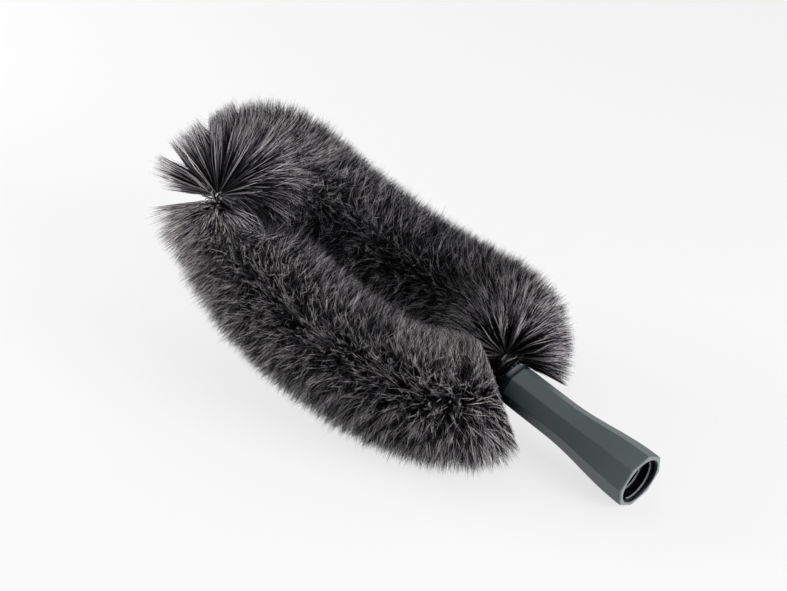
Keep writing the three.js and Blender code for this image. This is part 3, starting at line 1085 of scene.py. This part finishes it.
@dataclass(frozen=True)
class Parting:
    """Place on the stem where the bristles splay apart, least of all on the outer side of the bend."""

    along: float
    outward: np.ndarray
    most: tuple
    outer_share: float
    sharpness: float
    fade: tuple
    bare: float = 0.0
    bare_ease: float = 4.0

    def clear(self, along: np.ndarray) -> np.ndarray:
        """Moves the strands' places on the stem off its bare stretch at the parting."""
        off = along - self.along
        return along + np.sign(off) * np.clip(self.bare - np.abs(off) / self.bare_ease, 0, None)

    def lean(self, along: np.ndarray, out: np.ndarray) -> np.ndarray:
        """Extra lean along the stem, away from the parting.

        Args:
            along: places of the strands on the stem.
            out: their directions.

        Returns:
            Angles, positive towards the stem's last end.
        """
        off = along - self.along
        inner = np.clip(1 - out @ self.outward, 0, 1)
        most = np.where(off < 0, *self.most) * (self.outer_share + (1 - self.outer_share) * inner)
        return most * np.tanh(off / self.sharpness) * np.exp(-np.abs(off) / np.where(off < 0, *self.fade))


@dataclass(frozen=True)
class Wedge:
    """Slot between two tufts at the kink, hinged on the third of the kink's axes.

    A slot that keeps sides sends each strand to the side on which it starts.
    """

    hinge: tuple
    toward: float
    opening: float
    width: float
    clear: float
    keeps_side: bool = False
    soft: float = 5 * MM
    reach: float = 45 * MM

    def part(self, root: np.ndarray, points: np.ndarray) -> np.ndarray:
        """Pushes points of strands to the sides of the slot.

        Args:
            root: where the strands start.
            points: their control points or tips.

        Returns:
            The moved points.
        """
        x, y, depth = KINK_AXES @ (points - np.array(self.hinge)).T
        distance = np.hypot(x, y)
        angle = (np.arctan2(y, x) - self.toward + math.pi) % FULL_TURN - math.pi
        push = self.opening * np.clip(1 - np.abs(angle) / self.width, 0, 1)
        push = push * np.clip((distance - self.clear) / self.soft, 0, 1)
        push = push * (np.linalg.norm(root - np.array(self.hinge), axis=1) < self.reach)
        side = np.sign(angle)
        if self.keeps_side:
            below = (root - np.array(self.hinge)) @ KINK_AXES[1] < 0
            side = np.where(np.abs(angle) < self.width, np.where(below, 1, -1), side)
        angle = self.toward + side * (np.abs(angle) + push)
        moved = np.stack([distance * np.cos(angle), distance * np.sin(angle), depth], 1)
        return np.array(self.hinge) + moved @ KINK_AXES


@dataclass(frozen=True)
class EndFlare:
    """Wider lean of the bristles at the two ends of the bristled run, so that they close off the brush."""

    first: float
    last: float
    most: tuple = (math.radians(14), math.radians(42))
    fade: tuple = mm(8, 14)

    def lean(self, along: np.ndarray, share: np.ndarray) -> np.ndarray:
        """Extra lean along the stem towards the nearer end.

        Args:
            along: places of the strands on the stem.
            share: how far each strand follows, from 0 to 1.

        Returns:
            Angles, positive towards the stem's last end.
        """
        near_first = self.most[0] * np.exp(-(along - self.first) / self.fade[0])
        near_last = self.most[1] * np.exp(-(self.last - along) / self.fade[1])
        return share * (near_last - near_first)


@dataclass(frozen=True)
class Swell:
    """Stretch of the stem where the filaments are longer, shorter or tidier than elsewhere."""

    along: float
    spread: float
    gain: float

    def factor(self, along: np.ndarray) -> np.ndarray:
        """Factor for the strands at these places."""
        return 1 + self.gain * np.exp(-(((along - self.along) / self.spread) ** 2))


@dataclass(frozen=True)
class PaintedLightPatch:
    """Patch of painted light, where the filaments are made paler, or of painted shade if the gain is
    negative.
    """

    place: tuple
    radius: float
    gain: float

    def lift(self, tip: np.ndarray) -> np.ndarray:
        """Rise of the tone for strands with these tips."""
        off = np.linalg.norm(tip - np.array(self.place), axis=1) / self.radius
        return self.gain * np.exp(-(off**2))


@dataclass
class BristleRun:
    """Filaments along one run of the stem, gripped in a double helix between the two wires."""

    name: str
    node: str
    start: float
    end: float
    seed: int
    end_planes: tuple
    partings: tuple
    wedges: tuple
    swells: tuple
    flare: EndFlare
    painted_light_patches: tuple
    calms: tuple
    strands: int = 19400
    clump: int = 2
    brush_radius: float = 39 * MM
    root: float = 0.6 * MM
    thickness: tuple = mm(0.2, 0.28, 0.23)
    helix_spread: float = math.radians(32)
    lean_most: float = math.radians(22)
    clump_spread: float = math.radians(0.55)
    clump_sway: float = 0.1
    calm_spread: float = 6.0
    root_spread: float = 0.2 * MM
    length_spread: float = 0.035
    stray_share: float = 0.02
    stray_gain: float = 0.05
    reach_spread: float = 0.08
    bend: float = 0.11
    curl: float = 0.15
    floor_gap: float = 0.4 * MM
    tone_levels: int = 96
    tone_spread: float = 0.1
    fan_tone: float = 0.79
    fan_evenness: float = 0.6
    fan_light: float = 0.66
    chart_margin: tuple = (0.05, 0.02)

    def build(self, route: StemRoute, ground: Ground, strand: Strand, lie: Matrix,
              finish: bpy.types.Material) -> bpy.types.Object:
        """Grows the filaments and dresses them.

        Args:
            route: the stem's route.
            ground: how far a strand may grow.
            strand: the filament that is repeated.
            lie: the move from the bench to the floor.
            finish: its material.

        Returns:
            The piece.
        """
        rng = np.random.default_rng(self.seed)
        clumps = math.ceil(self.strands / self.clump)
        along = rng.uniform(self.start, self.end, clumps)
        face = rng.integers(0, 2, clumps) * math.pi
        disorder = math.prod(calm.factor(along) for calm in self.calms)
        angle = route.twist(along) + face + rng.normal(0, self.helix_spread, clumps) * (2 - disorder)
        lean = rng.uniform(-self.lean_most, self.lean_most, clumps) * disorder
        lean = lean + self.flare.lean(along, rng.random(clumps))
        shade = rng.random(clumps)
        own = np.repeat(np.arange(clumps), self.clump)[: self.strands]
        count = self.strands
        along = np.clip(along[own] + rng.normal(0, self.root_spread, count), self.start, self.end)
        loose = self.clump_spread * (1 + self.calm_spread * (1 - disorder[own]))
        angle = angle[own] + rng.normal(0, 1, count) * loose
        lean = lean[own] + rng.normal(0, 1, count) * loose
        shade = (shade[own] + self.tone_spread * rng.random(count)) % 1.0
        for parting in self.partings:
            along = parting.clear(along)
        place, tangent, normal, binormal = route.at(along)
        out = between(angle, normal, binormal)
        lean = lean + sum(parting.lean(along, out) for parting in self.partings)
        way = between(lean, out, tangent)
        grown = self.brush_radius * (1 + rng.normal(0, self.length_spread, count))
        grown = grown * (1 + self.stray_gain * (rng.random(count) < self.stray_share))
        for swell in self.swells:
            grown = grown * swell.factor(along)
        reach = np.minimum(grown, ground.at(along, angle) * (1 - self.reach_spread * rng.random(count)))
        for plane in self.end_planes:
            way = plane.comb(place, way, reach)
        across = unit(np.cross(way, tangent))
        beside = np.cross(way, across)
        sway = rng.normal(0, 1, (4, clumps))[:, own] + self.clump_sway * rng.normal(0, 1, (4, count))
        sway = sway * disorder[own]
        length = reach[:, None]
        root = place + self.root * way
        bent = length * self.bend * (sway[0][:, None] * across + sway[1][:, None] * beside)
        curled = length * self.curl * (sway[2][:, None] * across + sway[3][:, None] * beside)
        tip = place + length * way + curled
        control = root + 0.5 * length * way + bent
        control, tip = (self.set_apart(place, way, points) for points in (control, tip))
        calm = 1 - disorder[own]
        shade = shade + self.fan_evenness * calm * (self.fan_tone - shade)
        # Painted light and shade: tones are raised or lowered in patches by where the tips lie.
        shade = np.clip(shade + sum(painted_light.lift(tip) for painted_light in self.painted_light_patches), 0.0, 1.0)
        tones = (shade, self.fan_light * calm)
        piece = self.mesh(strand, (root, control, tip), (across, beside), tones, lie)
        return as_piece(piece, finish, Slot.BRISTLE, self.node)

    def set_apart(self, root: np.ndarray, way: np.ndarray, points: np.ndarray) -> np.ndarray:
        """Keeps points of strands out of the kink's slots and behind the end planes."""
        for wedge in self.wedges:
            points = wedge.part(root, points)
        for plane in self.end_planes:
            points = plane.press(root, way, points)
        return points

    def mesh(self, strand: Strand, path: tuple, sides: tuple, tones: tuple, lie: Matrix) -> bpy.types.Mesh:
        """Repeats the filament along its paths.

        Args:
            strand: the filament that is repeated.
            path: roots, control points and tips on the bench.
            sides: two directions across each filament.
            tones: tone of each filament, and how far the painted light of its tip reaches its root, from 0 to
                1.
            lie: the move from the bench to the floor.

        Returns:
            The mesh, with each strand's tone and the place along it at its points.
        """
        shade, light = tones
        turn, move = np.array(lie.to_3x3()), np.array(lie.translation)
        root, control, tip = (points @ turn.T + move for points in path)
        across, beside = (side @ turn.T for side in sides)
        for points in (control, tip):
            points[:, 2] = np.maximum(points[:, 2], self.floor_gap)
        u = strand.corners[:, 2][None, :, None]
        middle = ((1 - u) ** 2 * root[:, None] + 2 * u * (1 - u) * control[:, None] + u**2 * tip[:, None])
        stops = (0, strand.middle, 1)
        radius = np.interp(strand.corners[:, 2], stops, self.thickness)
        ring = (unit(strand.corners[:, :2], TOUCH) * radius[:, None])[None]
        verts = middle + ring[..., :1] * across[:, None] + ring[..., 1:] * beside[:, None]
        count, points = len(root), len(strand.corners)
        mesh = bpy.data.meshes.new(self.name)
        mesh.vertices.add(count * points)
        mesh.vertices.foreach_set("co", verts.astype(np.float32).ravel())
        loops = (strand.loops[None] + points * np.arange(count)[:, None]).ravel()
        starts = (strand.starts[None] + len(strand.loops) * np.arange(count)[:, None]).ravel()
        mesh.loops.add(len(loops))
        mesh.loops.foreach_set("vertex_index", loops.astype(np.int32))
        mesh.polygons.add(len(starts))
        mesh.polygons.foreach_set("loop_start", starts.astype(np.int32))
        mesh.polygons.foreach_set("use_smooth", np.ones(len(starts), bool))
        level = np.clip((shade * self.tone_levels).astype(int), 0, self.tone_levels - 1)
        tone = mesh.attributes.new("tone", "FLOAT", "POINT")
        held = np.repeat((level + 0.5) / self.tone_levels, points)
        tone.data.foreach_set("value", held.astype(np.float32))
        # Painted shade and light: along runs from the shaded root to the paler tip, and fans start partway up
        # it.
        place = mesh.attributes.new("along", "FLOAT", "POINT")
        lit = light[:, None] + (1 - light[:, None]) * strand.corners[None, :, 2]
        place.data.foreach_set("value", lit.astype(np.float32).ravel())
        chart = mesh.uv_layers.new(name="OFBake")
        side, end = self.chart_margin
        spread = (level[:, None] + side + (1 - 2 * side) * strand.around[None]) / self.tone_levels
        height = end + (1 - 2 * end) * lit[:, strand.loops]
        chart.uv.foreach_set("vector", np.stack([spread, height], 2).astype(np.float32).ravel())
        mesh.update(calc_edges=True)
        return mesh


@dataclass
class Studio:
    """White paper floor, soft lamps and the camera at the photograph's angle."""

    floor_size: float = 30.0
    azimuth: float = math.radians(43.364)
    elevation: float = math.radians(30.753)
    roll: float = math.radians(2.908)
    distance: float = 1.03602
    target: tuple = mm(2.185, 16.634, 30.88)
    lens: float = 79.2
    sensor: float = 36.0
    shift: tuple = (-0.0452, 0.0631)
    world_strength: float = 0.45
    lamps: tuple = (
        ("top_lamp", (-0.25, 0.1, 1.5), (0, 0, 0), 1.1, 1),
        ("left_lamp", (-1.25, -0.55, 0.3), (-0.1, 0, 0.05), 0.7, 21),
        ("right_lamp", (1.25, 0.1, 0.42), (0.05, 0, 0.05), 0.8, 17),
    )

    def floor(self) -> None:
        """Lays the floor."""
        bm = bmesh.new()
        bmesh.ops.create_grid(bm, x_segments=1, y_segments=1, size=self.floor_size / 2)
        mesh = bpy.data.meshes.new("floor_sheet")
        bm.to_mesh(mesh)
        bm.free()
        mesh.materials.append(FloorPaper().material())
        sheet = placed("floor_sheet", mesh)

    def lamp(self, name: str, place: tuple, aim: tuple, size: float, power: float) -> None:
        """Hangs a soft square lamp.

        Args:
            name: name of the lamp.
            place: where it hangs.
            aim: the point that it faces.
            size: length of its side.
            power: watts.
        """
        light = bpy.data.lights.new(name, "AREA")
        light.shape, light.size, light.energy = "SQUARE", size, power
        hung = placed(name, light)
        hung.location = place
        hung.rotation_euler = (Vector(aim) - Vector(place)).to_track_quat("-Z", "Y").to_euler()

    def sky(self) -> None:
        """Fills the room with even white light."""
        world = bpy.data.worlds.new("studio_white")
        world.use_nodes = True
        background = world.node_tree.nodes["Background"]
        background.inputs["Color"].default_value = (1, 1, 1, 1)
        background.inputs["Strength"].default_value = self.world_strength
        bpy.context.scene.world = world

    def camera(self) -> None:
        """Sets up the camera."""
        lens = bpy.data.cameras.new("studio_camera")
        lens.lens, lens.sensor_width = self.lens, self.sensor
        lens.shift_x, lens.shift_y = self.shift
        flat = math.cos(self.elevation)
        sideways, forward = math.sin(self.azimuth) * flat, math.cos(self.azimuth) * flat
        back = Vector((sideways, -forward, math.sin(self.elevation)))
        held = placed("studio_camera", lens)
        held.location = Vector(self.target) + back * self.distance
        facing = (-back).to_track_quat("-Z", "Y").to_matrix() @ Matrix.Rotation(self.roll, 3, "Z")
        held.rotation_euler = facing.to_euler()
        bpy.context.scene.camera = held

    def build(self) -> None:
        """Sets up the whole studio."""
        bpy.context.scene.view_settings.view_transform = "Standard"
        self.floor()
        self.sky()
        for lamp in self.lamps:
            self.lamp(*lamp)
        self.camera()


BRISTLE_NODES = ("far_leg_bristles", "far_tip_bristles", "near_tip_bristles", "near_leg_bristles")
PIECES_PER_NODE = 2
FIRST_SEED = 100
END_PLANES = {
    "far_leg_bristles": (
        EndPlane(mm(-12.5, 19.9, 1.7), (-0.125, 0.581, 0.803), 50 * MM, (0.688, 0.688, 0.23), 0.0),
    ),
    "near_leg_bristles": (
        EndPlane(mm(-29, -30, 27), (0.299, -0.463, -0.834), 50 * MM, firmness=0.8),
        EndPlane(mm(6.2, -21.2, 4.4), (-0.457, -0.74, -0.492), 60 * MM, free=8 * MM, firmness=0.88),
    ),
}
KINK = mm(-192.2, -68.5, 28.7)
FAN_CENTRE = mm(-196.9, -66.1, 35.5)
WEDGES = (
    Wedge(FAN_CENTRE, math.radians(76), math.radians(2.5), math.radians(16), 26 * MM),
    Wedge(FAN_CENTRE, math.radians(102), math.radians(4.5), math.radians(18), 20 * MM),
    Wedge(FAN_CENTRE, math.radians(146), math.radians(7), math.radians(22), 5 * MM),
    Wedge(KINK, math.radians(180), math.radians(8), math.radians(36), 3 * MM, keeps_side=True),
)
# Painted light on the fur's outer flanks, and painted shade in the loop's inner pit and by the neck.
PAINTED_LIGHT_PATCHES = (
    PaintedLightPatch(mm(-152, -100, 14), 12 * MM, 0.3),
    PaintedLightPatch(mm(-190, -100, 20), 42 * MM, 0.22),
    PaintedLightPatch(mm(-205, -75, 5), 25 * MM, 0.13),
    PaintedLightPatch(mm(-200, -42, 70), 32 * MM, 0.06),
    PaintedLightPatch(mm(-10, 27, 43), 30 * MM, 0.03),
    PaintedLightPatch(mm(-8, -45, 26), 32 * MM, 0.13),
    PaintedLightPatch(mm(-125, 35, 32), 50 * MM, -0.08),
    PaintedLightPatch(mm(-88, -8, 23), 30 * MM, -0.12),
    PaintedLightPatch(mm(-140, -38, 25), 30 * MM, -0.12),
    PaintedLightPatch(mm(-6, 3, 4), 16 * MM, -0.55),
)


def bristle_runs(route: StemRoute) -> list[BristleRun]:
    """Shares the bristled run of the stem among the pieces that stand for each node."""
    start, end = route.bristled()
    ends = np.linspace(start, end, len(BRISTLE_NODES) * PIECES_PER_NODE + 1)
    kink = route.nearest(KINK)
    outward = route.outward(kink)
    partings = (
        Parting(kink, outward, (math.radians(50), math.radians(60)), 0.1, 2 * MM, mm(20, 48), 1.6 * MM),
        Parting(kink, outward, (math.radians(14), math.radians(46)), 1.0, 8 * MM, mm(38, 38)),
    )
    flare = EndFlare(start, end)
    swells = (Swell(kink - 42 * MM, 30 * MM, 0.1), Swell(kink + 12 * MM, 16 * MM, 0.13),
              Swell(end, 20 * MM, 0.14), Swell(end, 4 * MM, -0.75))
    calms = (Swell(kink, 36 * MM, -0.75), Swell(start, 22 * MM, -0.5))
    runs = []
    for k, node in enumerate(BRISTLE_NODES):
        for part in range(PIECES_PER_NODE):
            n = k * PIECES_PER_NODE + part
            runs.append(BristleRun(f"{node}_{part + 1}", node, ends[n], ends[n + 1], seed=FIRST_SEED + n,
                                   end_planes=END_PLANES.get(node, ()), partings=partings, wedges=WEDGES,
                                   swells=swells, flare=flare, painted_light_patches=PAINTED_LIGHT_PATCHES, calms=calms))
    return runs


def main() -> None:
    """Builds and dresses every piece, then the studio."""
    logging.basicConfig(level=logging.INFO, format="%(name)s %(message)s")
    lie = Lie().matrix()
    steel = DrawnSteel().material()
    fibre = BristleFibre().material()
    socket = PoleSocket()
    socket.build(lie, SocketPlastic().material())
    NeckCap().build(lie, CapGloss().material())
    route = StemRoute()
    for name, node, side in (("wire_a", "stem_wire_a", 1), ("wire_b", "stem_wire_b", -1)):
        StemWire(name, node, side).build(route, lie, steel)
    ferrule = frame["nodes"]["crimp_ferrule"]
    ferrule.data.materials.clear()
    ferrule.data.materials.append(steel)
    ground, strand = Ground(route, socket), Strand()
    for run in bristle_runs(route):
        run.build(route, ground, strand, lie, fibre)
    Studio().build()


if __name__ == "__main__":
    main()
